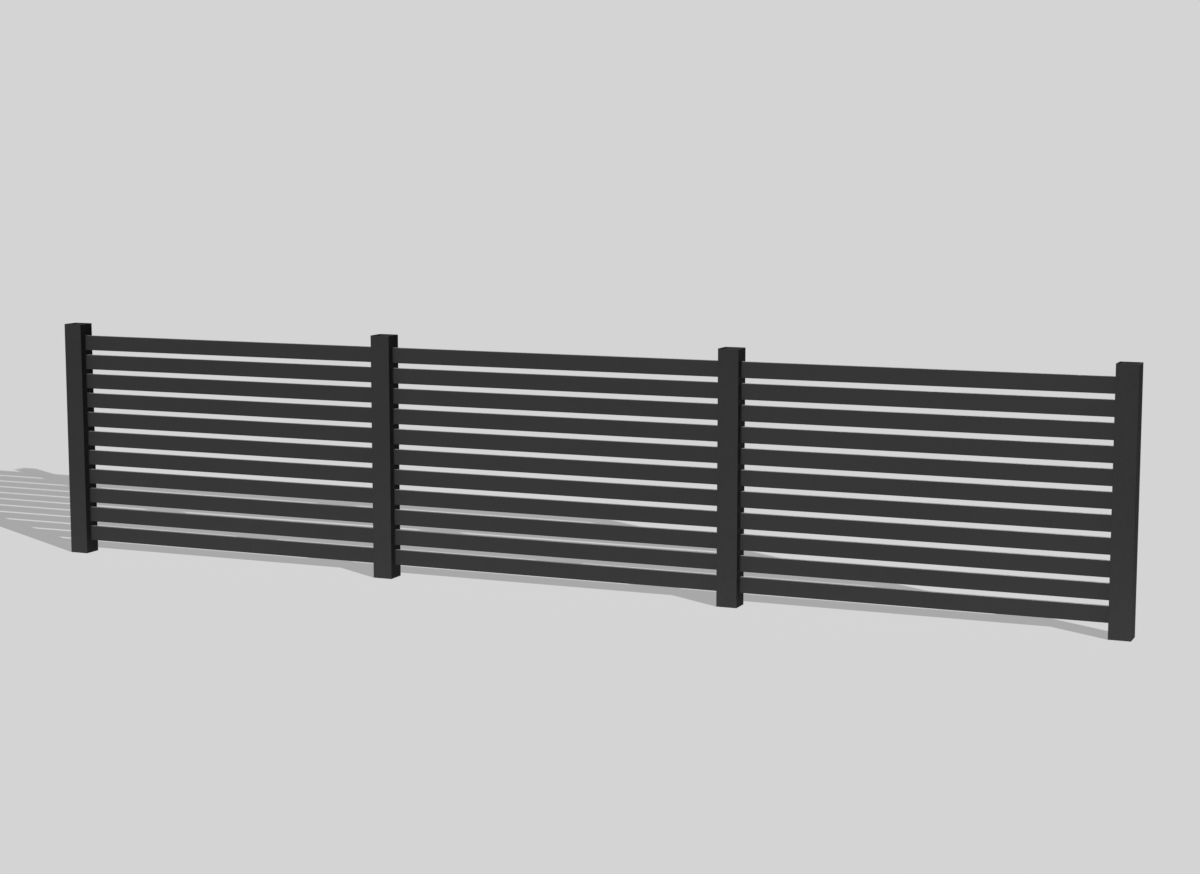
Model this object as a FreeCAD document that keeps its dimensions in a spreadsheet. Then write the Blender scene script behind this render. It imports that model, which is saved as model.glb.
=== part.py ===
import FreeCAD, Part
import os

import Sketcher
from FreeCAD import Vector

# Horizontal slat fence in steel. Square posts stand in a row, and level slats of flat
# rectangular tube are butted between them, bay after bay. Millimetres, X along the
# fence, Y through it from front to back and Z up, with the origin at the middle of
# the first post's foot.

doc = FreeCAD.newDocument("SlatFence")


# Driving dimensions
sheet = doc.addObject("Spreadsheet::Sheet", "Sizes")
driving_dimensions = [
    ("post_width", 100, "post tube across its face, along the fence"),
    ("post_depth", 100, "post tube from front to back"),
    ("post_wall", 2.5, "wall of the post tube"),
    ("post_bend_radius", 0.5, "inside radius of the post tube's corners"),
    ("slat_face", 75, "slat tube from bottom to top"),
    ("slat_thickness", 20, "slat tube from front to back"),
    ("slat_wall", 1.5, "wall of the slat tube"),
    ("slat_bend_radius", 0.5, "inside radius of the slat tube's corners"),
    ("slat_gap", 25, "open space between one slat and the next"),
    ("ground_clearance", 65, "from the ground to the lowest slat"),
    ("post_reach", 60, "post above the highest slat"),
    ("bay_opening", 1700, "clear width between two posts, which is a slat's length"),
    ("slats_per_bay", 11, "slats one above the other in a bay"),
    ("bay_count", 3, "bays in this run of fence"),
]
for row, (alias, value, meaning) in enumerate(driving_dimensions, start=1):
    sheet.set("A{}".format(row), alias)
    sheet.set("B{}".format(row), str(value))
    sheet.set("C{}".format(row), meaning)
    sheet.setAlias("B{}".format(row), alias)
doc.recompute()

# Lengths that follow from the driving dimensions
BAY_PITCH = "(Sizes.bay_opening + Sizes.post_width)"
SLAT_PITCH = "(Sizes.slat_face + Sizes.slat_gap)"
SLAT_STACK = "(Sizes.slats_per_bay * Sizes.slat_face + (Sizes.slats_per_bay - 1) * Sizes.slat_gap)"
POST_HEIGHT = "Sizes.ground_clearance + " + SLAT_STACK + " + Sizes.post_reach"


def origin_plane(body, role):
    """Returns one of the body's own origin planes, by its role."""
    planes = [feature for feature in body.Origin.OriginFeatures if feature.Role == role]
    return planes[0]


def draw_rounded_rectangle(sketch, across, upright, radius):
    """Draws a closed rectangle with round corners about the middle of the sketch.
    Its two sizes and its corner radius are expressions."""
    # A rough outline with the right topology, which the constraints then pull to size.
    half = 10.0
    corner = 2.0
    straight = half - corner
    right_angle = 1.5707963267948966
    first = sketch.GeometryCount
    sides = [
        (Vector(-straight, -half, 0), Vector(straight, -half, 0)),
        (Vector(half, -straight, 0), Vector(half, straight, 0)),
        (Vector(straight, half, 0), Vector(-straight, half, 0)),
        (Vector(-half, straight, 0), Vector(-half, -straight, 0)),
    ]
    corner_centres = [
        Vector(straight, -straight, 0),
        Vector(straight, straight, 0),
        Vector(-straight, straight, 0),
        Vector(-straight, -straight, 0),
    ]
    for turn in range(4):
        start, end = sides[turn]
        circle = Part.Circle(corner_centres[turn], Vector(0, 0, 1), corner)
        begin = (turn - 1) * right_angle
        sketch.addGeometry(Part.LineSegment(start, end), False)
        sketch.addGeometry(Part.ArcOfCircle(circle, begin, begin + right_angle), False)

    line = [first + 2 * turn for turn in range(4)]
    arc = [first + 2 * turn + 1 for turn in range(4)]
    for turn in range(4):
        next_line = line[(turn + 1) % 4]
        sketch.addConstraint(Sketcher.Constraint("Tangent", line[turn], 2, arc[turn], 1))
        sketch.addConstraint(Sketcher.Constraint("Tangent", arc[turn], 2, next_line, 1))
    for turn in (0, 2):
        sketch.addConstraint(Sketcher.Constraint("Horizontal", line[turn]))
    for turn in (1, 3):
        sketch.addConstraint(Sketcher.Constraint("Vertical", line[turn]))
    for turn in (1, 2, 3):
        sketch.addConstraint(Sketcher.Constraint("Equal", arc[0], arc[turn]))
    # The two ends of opposite sides mirror each other in the sketch's own origin.
    sketch.addConstraint(Sketcher.Constraint("Symmetric", line[0], 1, line[2], 1, -1, 1))
    sizes = [
        (Sketcher.Constraint("DistanceX", line[3], 1, line[1], 1, 2 * half), across),
        (Sketcher.Constraint("DistanceY", line[0], 1, line[2], 1, 2 * half), upright),
        (Sketcher.Constraint("Radius", arc[0], corner), radius),
    ]
    for constraint, expression in sizes:
        index = sketch.addConstraint(constraint)
        sketch.setExpression("Constraints[{}]".format(index), expression)


def hollow_section(name, plane_role, across, upright, wall, bend_radius, length):
    """Makes a body of rolled rectangular tube: a profile with round corners inside and
    out, which share their centres, drawn on one origin plane and extruded from it."""
    body = doc.addObject("PartDesign::Body", name)
    body.Label = name
    profile = body.newObject("Sketcher::SketchObject", name + "_profile")
    profile.AttachmentSupport = [(origin_plane(body, plane_role), "")]
    profile.MapMode = "FlatFace"
    outside_radius = "{} + {}".format(bend_radius, wall)
    bore_across = "{} - 2 * {}".format(across, wall)
    bore_upright = "{} - 2 * {}".format(upright, wall)
    draw_rounded_rectangle(profile, across, upright, outside_radius)
    draw_rounded_rectangle(profile, bore_across, bore_upright, bend_radius)
    tube = body.newObject("PartDesign::Pad", name + "_tube")
    tube.Profile = profile
    tube.setExpression("Length", length)
    profile.Visibility = False
    body.Tip = tube
    return body


def make_post(number):
    """An upright square tube, open at its top and at its foot."""
    post = hollow_section(
        "post_{}".format(number),
        "XY_Plane",
        "Sizes.post_width",
        "Sizes.post_depth",
        "Sizes.post_wall",
        "Sizes.post_bend_radius",
        POST_HEIGHT,
    )
    post.setExpression("Placement.Base.x", "{} * {}".format(number - 1, BAY_PITCH))
    return post


def make_slat(bay, level):
    """A level flat tube in the middle of the posts' depth, with both ends flush on the
    side faces of the posts beside it. Level 1 is the lowest slat of its bay."""
    slat = hollow_section(
        "bay_{}_slat_{:02d}".format(bay, level),
        "YZ_Plane",
        "Sizes.slat_thickness",
        "Sizes.slat_face",
        "Sizes.slat_wall",
        "Sizes.slat_bend_radius",
        "Sizes.bay_opening",
    )
    post_face = "{} * {} + Sizes.post_width / 2".format(bay - 1, BAY_PITCH)
    middle_height = "Sizes.ground_clearance + Sizes.slat_face / 2 + {} * {}"
    slat.setExpression("Placement.Base.x", post_face)
    slat.setExpression("Placement.Base.z", middle_height.format(level - 1, SLAT_PITCH))
    return slat


bay_count = int(sheet.get("bay_count"))
slats_per_bay = int(sheet.get("slats_per_bay"))

# Posts, one at each end of every bay
pieces = [make_post(number) for number in range(1, bay_count + 2)]

# Slats, from the lowest to the highest in each bay
for bay in range(1, bay_count + 1):
    for level in range(1, slats_per_bay + 1):
        pieces.append(make_slat(bay, level))

doc.recompute()

# Every feature and every solid is tested before anything is written.
for feature in doc.Objects:
    if "Invalid" in feature.State or "Error" in feature.State:
        raise RuntimeError("{} did not build: {}".format(feature.Label, feature.State))
for piece in pieces:
    if piece.Shape.isNull() or not piece.Shape.isValid() or len(piece.Shape.Solids) != 1:
        raise RuntimeError("{} is not one valid solid".format(piece.Label))

os.makedirs("parts", exist_ok=True)
for piece in pieces:
    piece.Shape.exportStep(os.path.join("parts", piece.Label + ".step"))

fence = Part.makeCompound([piece.Shape for piece in pieces])
box = fence.BoundBox
print("{} pieces".format(len(pieces)))
print("length {:.1f}, depth {:.1f}, height {:.1f}".format(box.XLength, box.YLength, box.ZLength))
print("steel volume {:.0f} cubic millimetres".format(fence.Volume))
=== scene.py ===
from math import pi, radians, sin, tau
import random

import bmesh
import bpy
from mathutils import Matrix, Vector
from mathutils import noise as turbulence


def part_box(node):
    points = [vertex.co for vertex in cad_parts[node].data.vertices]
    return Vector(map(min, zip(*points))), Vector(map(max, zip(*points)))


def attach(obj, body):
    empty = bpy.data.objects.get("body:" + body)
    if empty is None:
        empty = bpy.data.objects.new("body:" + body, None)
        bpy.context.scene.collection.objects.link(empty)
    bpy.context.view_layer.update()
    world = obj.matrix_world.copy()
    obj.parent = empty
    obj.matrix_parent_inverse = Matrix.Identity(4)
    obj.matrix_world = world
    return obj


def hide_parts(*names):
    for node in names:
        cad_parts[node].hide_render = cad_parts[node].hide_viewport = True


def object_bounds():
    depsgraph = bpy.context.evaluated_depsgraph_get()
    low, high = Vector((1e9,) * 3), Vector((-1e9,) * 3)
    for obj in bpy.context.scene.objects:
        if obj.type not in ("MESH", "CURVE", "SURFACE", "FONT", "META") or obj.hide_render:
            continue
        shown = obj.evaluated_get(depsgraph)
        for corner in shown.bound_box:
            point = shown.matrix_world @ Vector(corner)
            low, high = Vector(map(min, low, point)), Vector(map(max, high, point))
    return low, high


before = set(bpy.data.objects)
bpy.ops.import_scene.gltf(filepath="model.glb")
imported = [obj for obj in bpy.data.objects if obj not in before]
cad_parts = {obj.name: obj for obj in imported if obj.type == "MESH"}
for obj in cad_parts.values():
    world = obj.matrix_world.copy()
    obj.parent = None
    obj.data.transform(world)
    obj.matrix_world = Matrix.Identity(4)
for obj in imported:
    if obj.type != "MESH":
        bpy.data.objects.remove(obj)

cad_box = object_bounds()
scene = bpy.context.scene
row_low, row_high = cad_box


# Ground and background
# A plain pale studio ground that runs out to a background of the same grey. It carries
# the fence's shadow and sends soft light back up from round its foot.

backdrop_grey = 0.658
backdrop_colour = (backdrop_grey, backdrop_grey, backdrop_grey, 1.0)
shadow_keeps = 0.58
ground_half_width = 400.0
bounce_grey = 0.61
bounce_near = 0.3
bounce_far = 2.0
bounce_shift = 0.45

mesh = bpy.data.meshes.new("ground")
shape = bmesh.new()
bmesh.ops.create_grid(shape, x_segments=1, y_segments=1, size=ground_half_width)
shape.to_mesh(mesh)
shape.free()
ground = bpy.data.objects.new("ground", mesh)
scene.collection.objects.link(ground)


def new_material(name):
    """An empty material, with its node tree and its output node."""
    material = bpy.data.materials.new(name)
    material.use_nodes = True
    tree = material.node_tree
    tree.nodes.clear()
    output = tree.nodes.new("ShaderNodeOutputMaterial")
    return material, tree, output


def arithmetic(tree, operation, first, second):
    """A Math node on two values, each a socket or a plain number."""
    step = tree.nodes.new("ShaderNodeMath")
    step.operation = operation
    for socket, value in zip(step.inputs, (first, second)):
        if isinstance(value, (int, float)):
            socket.default_value = value
        else:
            tree.links.new(value, socket)
    return step.outputs[0]


def vector_step(tree, operation, source, constant=(0.0, 0.0, 0.0)):
    """One step of vector arithmetic, with a fixed second vector where it takes one."""
    step = tree.nodes.new("ShaderNodeVectorMath")
    step.operation = operation
    step.inputs[1].default_value = constant
    tree.links.new(source, step.inputs[0])
    return step


def stretch(tree, value, low, high, low_result, high_result):
    """Carries a value from one range to another along a smooth step."""
    ramp = tree.nodes.new("ShaderNodeMapRange")
    ramp.interpolation_type = "SMOOTHSTEP"
    ramp.inputs["From Min"].default_value = low
    ramp.inputs["From Max"].default_value = high
    ramp.inputs["To Min"].default_value = low_result
    ramp.inputs["To Max"].default_value = high_result
    tree.links.new(value, ramp.inputs["Value"])
    return ramp.outputs[0]


def seen_or_lighting(tree, seen, lighting, output):
    """Ends a tree with one shader for rays that see the surface, from the camera, in gloss
    or through glass, and another one for the light that it gives to what is round it."""
    path = tree.nodes.new("ShaderNodeLightPath")
    either = arithmetic(tree, "MAXIMUM", path.outputs["Is Camera Ray"], path.outputs["Is Glossy Ray"])
    any_of_them = arithmetic(tree, "MAXIMUM", either, path.outputs["Is Transmission Ray"])
    choice = tree.nodes.new("ShaderNodeMixShader")
    tree.links.new(any_of_them, choice.inputs["Fac"])
    tree.links.new(lighting.outputs[0], choice.inputs[1])
    tree.links.new(seen.outputs[0], choice.inputs[2])
    tree.links.new(choice.outputs[0], output.inputs["Surface"])


material, tree, output = new_material("ground")
matt = tree.nodes.new("ShaderNodeBsdfDiffuse")
matt.inputs["Color"].default_value = backdrop_colour
even = tree.nodes.new("ShaderNodeEmission")
even.inputs["Color"].default_value = backdrop_colour
shown = tree.nodes.new("ShaderNodeMixShader")
shown.inputs["Fac"].default_value = shadow_keeps
tree.links.new(matt.outputs[0], shown.inputs[1])
tree.links.new(even.outputs[0], shown.inputs[2])

# Light bounces from the ground near the fence only: its grey fades with the distance
# from the line on which the posts stand, and reaches a little further at the right end.
middle_x = (row_low.x + row_high.x) / 2 + bounce_shift
half_run = (row_high.x - row_low.x) / 2
place = tree.nodes.new("ShaderNodeTexCoord")
centred = vector_step(tree, "SUBTRACT", place.outputs["Object"], (middle_x, 0.0, 0.0))
one_side = vector_step(tree, "ABSOLUTE", centred.outputs[0])
past_the_end = vector_step(tree, "SUBTRACT", one_side.outputs[0], (half_run, 0.0, 0.0))
away = vector_step(tree, "MAXIMUM", past_the_end.outputs[0], (0.0, 0.0, 0.0))
distance = vector_step(tree, "LENGTH", away.outputs[0])
fade = stretch(tree, distance.outputs["Value"], bounce_near, bounce_far, bounce_grey, 0.0)
bounce = tree.nodes.new("ShaderNodeBsdfDiffuse")
tree.links.new(fade, bounce.inputs["Color"])

seen_or_lighting(tree, shown, bounce, output)
ground.data.materials.append(material)


# Light and camera
# A low sun draws the fence's long shadow on the ground only. A strong light in front, one
# behind and a weak one at the right light the steel. The camera is in front to the right.

ambient = 0.03
world = bpy.data.worlds.new("studio")
scene.world = world
world.use_nodes = True
tree = world.node_tree
tree.nodes.clear()
output = tree.nodes.new("ShaderNodeOutputWorld")
around = tree.nodes.new("ShaderNodeBackground")
around.inputs["Color"].default_value = (1.0, 1.0, 1.0, 1.0)
around.inputs["Strength"].default_value = ambient
background = tree.nodes.new("ShaderNodeBackground")
background.inputs["Color"].default_value = backdrop_colour
seen_or_lighting(tree, background, around, output)

ground_only = bpy.data.collections.new("ground_only")
ground_only.objects.link(ground)
steel_only = bpy.data.collections.new("steel_only")


def hang_lamp(name, light, towards, lit):
    """Puts a light in the scene that shines along a direction, on one collection."""
    lamp = bpy.data.objects.new(name, light)
    lamp.rotation_euler = Vector(towards).to_track_quat("-Z", "Y").to_euler()
    lamp.light_linking.receiver_collection = lit
    scene.collection.objects.link(lamp)
    return lamp


def add_sun(name, towards, strength, spread, lit):
    """A sun with its strength and its angular width in degrees."""
    light = bpy.data.lights.new(name, "SUN")
    light.energy = strength
    light.angle = radians(spread)
    hang_lamp(name, light, towards, lit)


# The shadow of a point one metre up lies 3.3 m to the left and 1.95 m behind it. The sun
# and the even light together bring open ground to exactly its own grey.
shadow_run = Vector((-3.3, 1.953, -1.0))
sun_height = -shadow_run.normalized().z
sun_strength = pi * (1.0 - ambient) / sun_height
add_sun("shadow_sun", shadow_run, sun_strength, spread=0.25, lit=ground_only)
add_sun("front_light", (0.05, 1.0, -0.6), strength=3.05, spread=10, lit=steel_only)
add_sun("back_light", (0.1, -1.0, -0.6), strength=2.95, spread=10, lit=steel_only)
add_sun("side_light", (-1.0, 0.35, -0.1), strength=0.17, spread=16, lit=steel_only)

# A wide low lamp past the right end gives the light that open ground sends to that side.
low_light_width = 1.0
low_light_height = 0.08
low_light_power = 0.9
low_light_away = 0.45
light = bpy.data.lights.new("low_light", "AREA")
light.shape = "RECTANGLE"
light.size = low_light_width
light.size_y = low_light_height
light.energy = low_light_power
lamp = hang_lamp("low_light", light, (-1.0, 0.0, 0.0), steel_only)
lamp.location = (row_high.x + low_light_away, 0.0, low_light_height / 2)
lamp.visible_camera = False

# The camera's place comes from the fence's own edges in the photograph.
image_width = 1200
focal_pixels = 2251.4
camera_place = Vector((7.0517, -9.6905, 2.1298))
camera_aim = Vector((-0.38692, 0.91298, -0.12945))
lens = bpy.data.cameras.new("camera")
lens.sensor_width = 36.0
lens.lens = lens.sensor_width * focal_pixels / image_width
lens.clip_end = 4 * ground_half_width
camera = bpy.data.objects.new("camera", lens)
camera.location = camera_place
camera.rotation_euler = camera_aim.to_track_quat("-Z", "Y").to_euler()
scene.collection.objects.link(camera)
scene.camera = camera
scene.view_settings.view_transform = "Standard"


# Posts
# Four lengths of cold-rolled square steel tube, saw-cut and deburred at both ends. They
# are open at the top, stand straight on the ground and are powder coated charcoal grey.

post_wall = 0.0025
post_corner = 0.003
corner_segments = 6
rim_break = 0.0003
rim_segments = 2
rim_angle = radians(60)
smooth_angle = radians(50)
full_rub_share = 0.25
seam_width = 0.0026
seam_segments = 10
seam_off_middle = 0.014


def draw_rectangle(shape, across, upright, corner, segments):
    """Draws a flat rectangle with round corners about the middle of the ground plane."""
    bmesh.ops.create_grid(shape, x_segments=1, y_segments=1, size=0.5)
    bmesh.ops.scale(shape, verts=shape.verts, vec=(across, upright, 1.0))
    bmesh.ops.bevel(
        shape,
        geom=shape.verts[:],
        offset=corner,
        segments=segments,
        profile=0.5,
        affect="VERTICES",
        material=-1,
    )


def draw_section(shape, across, upright, wall, corner):
    """Draws a rectangular tube's cut end flat, with round corners. The corner's middle
    points get a rub of 1, because handling thins the coat there."""
    rub = shape.verts.layers.float.new("rub")
    draw_rectangle(shape, across, upright, corner, corner_segments)
    for point in shape.verts:
        from_side = across / 2 - abs(point.co.x)
        from_edge = upright / 2 - abs(point.co.y)
        point[rub] = min(1.0, min(from_side, from_edge) / (full_rub_share * corner))
    bore = shape.faces[:]
    bmesh.ops.inset_individual(shape, faces=bore, thickness=wall, use_even_offset=True)
    for point in bore[0].verts:
        point[rub] = 0.0
    bmesh.ops.delete(shape, geom=bore, context="FACES_ONLY")


def draw_out(shape, faces, length):
    """Extrudes flat faces upwards into a closed bar."""
    made = bmesh.ops.extrude_face_region(shape, geom=faces)
    raised = [part for part in made["geom"] if isinstance(part, bmesh.types.BMVert)]
    bmesh.ops.translate(shape, verts=raised, vec=(0.0, 0.0, length))


def break_rims(shape):
    """Breaks the sharp edges that the saw leaves round the tube's cut ends."""
    rims = [edge for edge in shape.edges if edge.calc_face_angle() > rim_angle]
    bmesh.ops.bevel(
        shape,
        geom=rims,
        offset=rim_break,
        segments=rim_segments,
        profile=0.5,
        affect="EDGES",
        material=-1,
    )


def make_tube(across, upright, wall, corner, length):
    """A length of rectangular tube standing on the ground, as a new bmesh."""
    shape = bmesh.new()
    draw_section(shape, across, upright, wall, corner)
    draw_out(shape, shape.faces[:], length)
    bmesh.ops.recalc_face_normals(shape, faces=shape.faces[:])
    break_rims(shape)
    return shape


def finish_piece(name, shape, coat):
    """Turns a bmesh into a coated steel piece of the fence, and frees the bmesh."""
    mesh = bpy.data.meshes.new(name)
    shape.to_mesh(mesh)
    shape.free()
    mesh.shade_smooth()
    mesh.set_sharp_from_angle(angle=smooth_angle)
    mesh.materials.append(coat)
    piece = bpy.data.objects.new(name, mesh)
    scene.collection.objects.link(piece)
    steel_only.objects.link(piece)
    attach(piece, "root")
    return piece


def finish_tube(node, shape, coat):
    """Finishes a tube that stands for a node, and keeps its flat sides flat in the light."""
    piece = finish_piece(node + "_tube", shape, coat)
    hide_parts(node)
    piece.modifiers.new("flat_sides", "WEIGHTED_NORMAL").keep_sharp = True


def new_group(name, takes, gives):
    """An empty node group with named inputs and outputs, and its two end nodes."""
    group = bpy.data.node_groups.new(name, "ShaderNodeTree")
    for label, kind in takes:
        group.interface.new_socket(label, in_out="INPUT", socket_type=kind)
    for label, kind in gives:
        group.interface.new_socket(label, in_out="OUTPUT", socket_type=kind)
    entry = group.nodes.new("NodeGroupInput")
    leave = group.nodes.new("NodeGroupOutput")
    return group, entry, leave


def noise(tree, place, scale, detail):
    """The value of a noise pattern at a place, with its scale a socket or a number."""
    pattern = tree.nodes.new("ShaderNodeTexNoise")
    pattern.inputs["Detail"].default_value = detail
    tree.links.new(place, pattern.inputs["Vector"])
    if isinstance(scale, (int, float)):
        pattern.inputs["Scale"].default_value = scale
    else:
        tree.links.new(scale, pattern.inputs["Scale"])
    return pattern.outputs[0]


def powder_grain():
    """The relief of a fine-textured powder coat: small hard grains on a slow ripple."""
    takes = [
        ("Place", "NodeSocketVector"),
        ("Grain Size", "NodeSocketFloat"),
        ("Ripple Size", "NodeSocketFloat"),
    ]
    gives = [("Height", "NodeSocketFloat"), ("Grain", "NodeSocketFloat")]
    group, entry, leave = new_group("powder_grain", takes, gives)
    grain_scale = arithmetic(group, "DIVIDE", 1.0, entry.outputs["Grain Size"])
    ripple_scale = arithmetic(group, "DIVIDE", 1.0, entry.outputs["Ripple Size"])
    grains = noise(group, entry.outputs["Place"], grain_scale, detail=2.0)
    ripple = noise(group, entry.outputs["Place"], ripple_scale, detail=0.0)
    together = arithmetic(group, "ADD", grains, ripple)
    height = arithmetic(group, "DIVIDE", together, 2.0)
    group.links.new(height, leave.inputs["Height"])
    group.links.new(grains, leave.inputs["Grain"])
    return group


def coat_tone():
    """The coat's colour: slight clouds from uneven thickness and weather, painted shade on its grain.
    """
    takes = [
        ("Place", "NodeSocketVector"),
        ("Colour", "NodeSocketColor"),
        ("Spread", "NodeSocketFloat"),
        ("Grain", "NodeSocketFloat"),
        ("Painted Grain Shade", "NodeSocketFloat"),
    ]
    group, entry, leave = new_group("coat_tone", takes, [("Colour", "NodeSocketColor")])
    broad = noise(group, entry.outputs["Place"], scale=1.7, detail=2.0)
    close = noise(group, entry.outputs["Place"], scale=24.0, detail=3.0)
    clouds = arithmetic(group, "ADD", broad, close)
    cloud_swing = arithmetic(group, "SUBTRACT", clouds, 1.0)
    cloud_share = arithmetic(group, "MULTIPLY", cloud_swing, entry.outputs["Spread"])
    # The grain's pits are painted darker and its grains lighter: painted shade and painted highlight.
    grain_swing = arithmetic(group, "SUBTRACT", entry.outputs["Grain"], 0.5)
    painted_grain_shade = arithmetic(group, "MULTIPLY", grain_swing, entry.outputs["Painted Grain Shade"])
    both = arithmetic(group, "ADD", cloud_share, painted_grain_shade)
    factor = arithmetic(group, "ADD", both, 1.0)
    tinted = group.nodes.new("ShaderNodeVectorMath")
    tinted.operation = "SCALE"
    group.links.new(entry.outputs["Colour"], tinted.inputs[0])
    group.links.new(factor, tinted.inputs["Scale"])
    group.links.new(tinted.outputs[0], leave.inputs["Colour"])
    return group


def dust_and_painted_light():
    """A mask for pale dust and painted light: a film on upward faces and a splash just above the
    ground.
    """
    takes = [
        ("Place", "NodeSocketVector"),
        ("Facing", "NodeSocketVector"),
        ("Dust And Highlight On Tops", "NodeSocketFloat"),
        ("Dust And Ground Light At Foot", "NodeSocketFloat"),
    ]
    group, entry, leave = new_group("dust_and_painted_light", takes, [("Mask", "NodeSocketFloat")])
    facing = group.nodes.new("ShaderNodeSeparateXYZ")
    group.links.new(entry.outputs["Facing"], facing.inputs[0])
    place = group.nodes.new("ShaderNodeSeparateXYZ")
    group.links.new(entry.outputs["Place"], place.inputs[0])
    # Upward faces get a pale film that is partly dust and partly a painted highlight on the tops.
    upward = stretch(group, facing.outputs["Z"], low=0.3, high=0.95, low_result=0.0, high_result=1.0)
    dust_and_highlight_film = arithmetic(group, "MULTIPLY", upward, entry.outputs["Dust And Highlight On Tops"])
    # Just above the ground the coat is lighter: partly a dust splash, partly painted light thrown up
    # from the ground.
    foot = stretch(group, place.outputs["Z"], low=0.0, high=0.22, low_result=1.0, high_result=0.0)
    dust_and_ground_light_splash = arithmetic(group, "MULTIPLY", foot, entry.outputs["Dust And Ground Light At Foot"])
    drifts = noise(group, entry.outputs["Place"], scale=12.0, detail=5.0)
    patches = stretch(group, drifts, low=0.3, high=0.7, low_result=0.6, high_result=1.0)
    specks = noise(group, entry.outputs["Place"], scale=450.0, detail=2.0)
    grit = stretch(group, specks, low=0.35, high=0.62, low_result=0.65, high_result=1.0)
    uneven = arithmetic(group, "MULTIPLY", patches, grit)
    both = arithmetic(group, "MAXIMUM", dust_and_highlight_film, dust_and_ground_light_splash)
    mask = arithmetic(group, "MULTIPLY", both, uneven)
    group.links.new(mask, leave.inputs["Mask"])
    return group


def rubbed_edges():
    """A mask for rounded corners and cut rims, broken up so that it isn't a plain line."""
    takes = [
        ("Place", "NodeSocketVector"),
        ("Rub", "NodeSocketFloat"),
        ("Amount", "NodeSocketFloat"),
    ]
    group, entry, leave = new_group("rubbed_edges", takes, [("Mask", "NodeSocketFloat")])
    breaks = noise(group, entry.outputs["Place"], scale=90.0, detail=4.0)
    worn = stretch(group, breaks, low=0.4, high=0.62, low_result=0.15, high_result=1.0)
    edge = arithmetic(group, "MULTIPLY", worn, entry.outputs["Rub"])
    mask = arithmetic(group, "MULTIPLY", edge, entry.outputs["Amount"])
    group.links.new(mask, leave.inputs["Mask"])
    return group


grain_group = powder_grain()
tone_group = coat_tone()
dust_light_group = dust_and_painted_light()
edge_group = rubbed_edges()


def use_group(tree, group, links, values):
    """Places a node group in a material, with its own links and values."""
    used = tree.nodes.new("ShaderNodeGroup")
    used.node_tree = group
    for label, source in links.items():
        tree.links.new(source, used.inputs[label])
    for label, value in values.items():
        used.inputs[label].default_value = value
    return used.outputs


def blend_colours(tree, mask, first, second):
    """Mixes a second colour over a first one by a mask."""
    mix = tree.nodes.new("ShaderNodeMix")
    mix.data_type = "RGBA"
    tree.links.new(mask, mix.inputs["Factor"])
    tree.links.new(first, mix.inputs["A"])
    mix.inputs["B"].default_value = second
    return mix.outputs["Result"]


charcoal = (0.034, 0.034, 0.034, 1.0)
rubbed_colour = (0.075, 0.075, 0.075, 1.0)
dust_and_light_colour = (0.24, 0.235, 0.225, 1.0)
dust_roughness = 0.95
relief_strength = 0.5
relief_depth = 0.0004


def powder_coat(name, colour, sheen_level, roughness, dust_and_highlight_on_tops, dust_and_ground_light_at_foot, edge_rub):
    """The charcoal powder coat: grain with painted shade, clouds, dust with painted light, rubbed
    edges.
    """
    material, tree, output = new_material(name)
    place = tree.nodes.new("ShaderNodeTexCoord").outputs["Object"]
    facing = tree.nodes.new("ShaderNodeNewGeometry").outputs["True Normal"]
    rub = tree.nodes.new("ShaderNodeAttribute")
    rub.attribute_name = "rub"
    grain = use_group(
        tree,
        grain_group,
        {"Place": place},
        {"Grain Size": 0.0011, "Ripple Size": 0.008},
    )
    # The tone carries painted shade in the grain's pits and a painted highlight on its grains.
    tone = use_group(
        tree,
        tone_group,
        {"Place": place, "Grain": grain["Grain"]},
        {"Colour": colour, "Spread": 0.12, "Painted Grain Shade": 1.5},
    )["Colour"]
    rubbed = use_group(
        tree,
        edge_group,
        {"Place": place, "Rub": rub.outputs["Fac"]},
        {"Amount": edge_rub},
    )["Mask"]
    dust_and_light = use_group(
        tree,
        dust_light_group,
        {"Place": place, "Facing": facing},
        {"Dust And Highlight On Tops": dust_and_highlight_on_tops, "Dust And Ground Light At Foot": dust_and_ground_light_at_foot},
    )["Mask"]
    # The pale mix is partly dust and partly painted light: a painted highlight on tops, lighter at
    # the foot.
    worn = blend_colours(tree, rubbed, tone, rubbed_colour)
    dusty_and_lit = blend_colours(tree, dust_and_light, worn, dust_and_light_colour)
    dulled = stretch(tree, dust_and_light, 0.0, 1.0, roughness, dust_roughness)
    relief = tree.nodes.new("ShaderNodeBump")
    relief.inputs["Strength"].default_value = relief_strength
    relief.inputs["Distance"].default_value = relief_depth
    tree.links.new(grain["Height"], relief.inputs["Height"])
    coat = tree.nodes.new("ShaderNodeBsdfPrincipled")
    coat.inputs["Specular IOR Level"].default_value = sheen_level
    tree.links.new(dusty_and_lit, coat.inputs["Base Color"])
    tree.links.new(dulled, coat.inputs["Roughness"])
    tree.links.new(relief.outputs["Normal"], coat.inputs["Normal"])
    tree.links.new(coat.outputs[0], output.inputs["Surface"])
    return material


post_coat = powder_coat(
    "post_coat",
    charcoal,
    sheen_level=0.012,
    roughness=0.6,
    dust_and_highlight_on_tops=0.35,
    dust_and_ground_light_at_foot=0.004,
    edge_rub=0.35,
)

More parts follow.
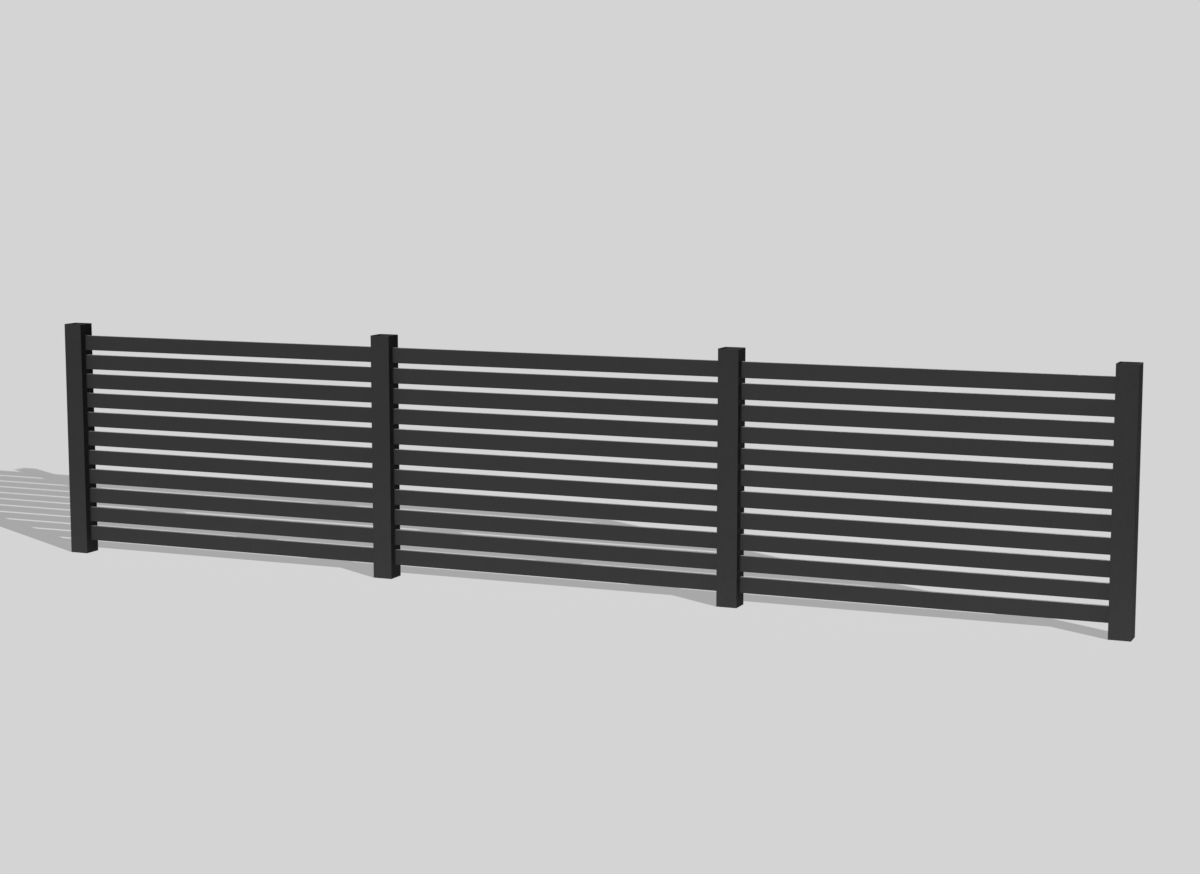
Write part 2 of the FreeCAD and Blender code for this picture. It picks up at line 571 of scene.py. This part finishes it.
for node in [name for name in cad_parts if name.startswith("post_")]:
    low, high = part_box(node)
    width, depth, height = high - low
    shape = make_tube(width, depth, post_wall, post_corner, height)
    rub = shape.verts.layers.float["rub"]
    for point in shape.verts:
        if point.co.z > height - rim_break / 4:
            point[rub] = 1.0

    # The tube mill's weld seam, left inside on the back wall
    seam = bmesh.ops.create_cone(
        shape,
        cap_ends=True,
        segments=seam_segments,
        radius1=seam_width / 2,
        radius2=seam_width / 2,
        depth=height - 2 * rim_break,
    )
    wall_inside = depth / 2 - post_wall
    bmesh.ops.translate(shape, verts=seam["verts"], vec=(seam_off_middle, wall_inside, height / 2))
    bmesh.ops.recalc_face_normals(shape, faces=shape.faces[:])

    middle = (low + high) / 2
    bmesh.ops.translate(shape, verts=shape.verts, vec=(middle.x, middle.y, low.z))
    finish_tube(node, shape, post_coat)


# Slats
# Eleven lengths of flat rectangular steel tube to a bay, cut square and butted between
# the posts' sides in the middle of their depth. Their coat is a little glossier, and its
# colour is a little darker as painted shade that offsets that sheen.

slat_wall = 0.0015
slat_corner = 0.002
# The slats' charcoal is darkened as painted shade, so that their glossier fronts match the posts.
slat_shaded_charcoal = (0.027, 0.027, 0.027, 1.0)
slat_coat = powder_coat(
    "slat_coat",
    slat_shaded_charcoal,
    sheen_level=0.12,
    roughness=0.5,
    dust_and_highlight_on_tops=0.6,
    dust_and_ground_light_at_foot=0.004,
    edge_rub=0.3,
)

# Turns a tube that stands on the ground so that it lies along the fence, broad side in front.
lay_down = Matrix(((0, 0, 1, 0), (1, 0, 0, 0), (0, 1, 0, 0), (0, 0, 0, 1)))
slat_nodes = sorted(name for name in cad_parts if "_slat_" in name)

for node in slat_nodes:
    low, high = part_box(node)
    length, thickness, face = high - low
    shape = make_tube(thickness, face, slat_wall, slat_corner, length)
    bmesh.ops.transform(shape, matrix=lay_down, verts=shape.verts)
    middle = (low + high) / 2
    bmesh.ops.translate(shape, verts=shape.verts, vec=(low.x, middle.y, middle.z))
    finish_tube(node, shape, slat_coat)


# Welds
# A small fillet weld runs all round each slat end and holds it on the post's side. The
# fence is coated after welding, so the beads have the same charcoal coat.

weld_leg = 0.003
weld_crown = 0.0006
weld_root = 0.0002
bead_corner_segments = 3
bead_step = 0.0009
bead_rows = 3
least_fullness = 0.85
most_fullness = 1.15
ripple_pitch = 0.0027
ripple_height = 0.00022
ripple_bow = 1.4
wander = 0.0005
wander_scale = 120.0
wander_starts = 9.0
random.seed(11)


def clamp(value, limit):
    """Keeps a value between minus and plus a limit."""
    return max(-limit, min(limit, value))


def lay_bead(thickness, face):
    """One weld bead as a closed ring round a slat end that stands on the ground plane."""
    shape = bmesh.new()
    draw_rectangle(shape, thickness, face, slat_corner, bead_corner_segments)
    bmesh.ops.delete(shape, geom=shape.faces[:], context="FACES_ONLY")
    for edge in shape.edges[:]:
        pieces = round(edge.calc_length() / bead_step)
        if pieces > 1:
            bmesh.ops.subdivide_edges(shape, edges=[edge], cuts=pieces - 1)
    bmesh.ops.translate(shape, verts=shape.verts, vec=(0.0, 0.0, weld_leg))

    first_row = shape.edges[:]
    row = first_row
    phase = random.uniform(0.0, tau)
    fullness = random.uniform(least_fullness, most_fullness)
    start = Vector((random.uniform(0.0, wander_starts), random.uniform(0.0, wander_starts), 0.0))
    # Each row goes one step down the bead's face to the post, and the last one is its root.
    for number in range(1, bead_rows + 2):
        share = number / bead_rows
        made = bmesh.ops.extrude_edge_only(shape, edges=row)
        row = [part for part in made["geom"] if isinstance(part, bmesh.types.BMEdge)]
        for point in [part for part in made["geom"] if isinstance(part, bmesh.types.BMVert)]:
            straight = Vector((
                clamp(point.co.x, thickness / 2 - slat_corner),
                clamp(point.co.y, face / 2 - slat_corner),
                0.0,
            ))
            outward = Vector((point.co.x, point.co.y, 0.0)) - straight
            outward.normalize()
            along = point.co.x + point.co.y
            # The hand's pace and reach change a little as it works its way round.
            drift = wander * turbulence.noise(start + wander_scale * straight)
            crescent = ripple_bow * (share - 0.5) ** 2
            ripple = ripple_height * sin(tau * (along + drift) / ripple_pitch + phase + crescent)
            swell = sin(pi * min(share, 1.0)) * (weld_crown * fullness + ripple)
            reach = slat_corner + (weld_leg + drift) * share + swell
            rise = weld_leg * (1.0 - share) + swell
            if number > bead_rows:
                reach = slat_corner - weld_root
                rise = -weld_root
            point.co = straight + outward * reach
            point.co.z = rise
    bmesh.ops.bridge_loops(shape, edges=first_row + row)
    bmesh.ops.recalc_face_normals(shape, faces=shape.faces[:])
    return shape


weld_coat = powder_coat(
    "weld_coat",
    charcoal,
    sheen_level=0.012,
    roughness=0.6,
    dust_and_highlight_on_tops=0.3,
    dust_and_ground_light_at_foot=0.0,
    edge_rub=0.0,
)

# The slats' left ends sit on the right side of a post, and their right ends on the left
# side of the next one. Each such row of beads is one piece.
for bay in sorted({name.split("_slat_")[0] for name in slat_nodes}):
    for end, turn in (("left", 0.0), ("right", pi)):
        beads = bmesh.new()
        for node in [name for name in slat_nodes if name.startswith(bay)]:
            low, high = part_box(node)
            length, thickness, face = high - low
            shape = lay_bead(thickness, face)
            bmesh.ops.transform(shape, matrix=lay_down, verts=shape.verts)
            bmesh.ops.rotate(shape, verts=shape.verts, matrix=Matrix.Rotation(turn, 3, "Z"))
            middle = (low + high) / 2
            end_x = low.x if end == "left" else high.x
            bmesh.ops.translate(shape, verts=shape.verts, vec=(end_x, middle.y, middle.z))
            scratch = bpy.data.meshes.new("bead")
            shape.to_mesh(scratch)
            shape.free()
            beads.from_mesh(scratch)
            bpy.data.meshes.remove(scratch)
        finish_piece("{}_{}_welds".format(bay, end), beads, weld_coat)
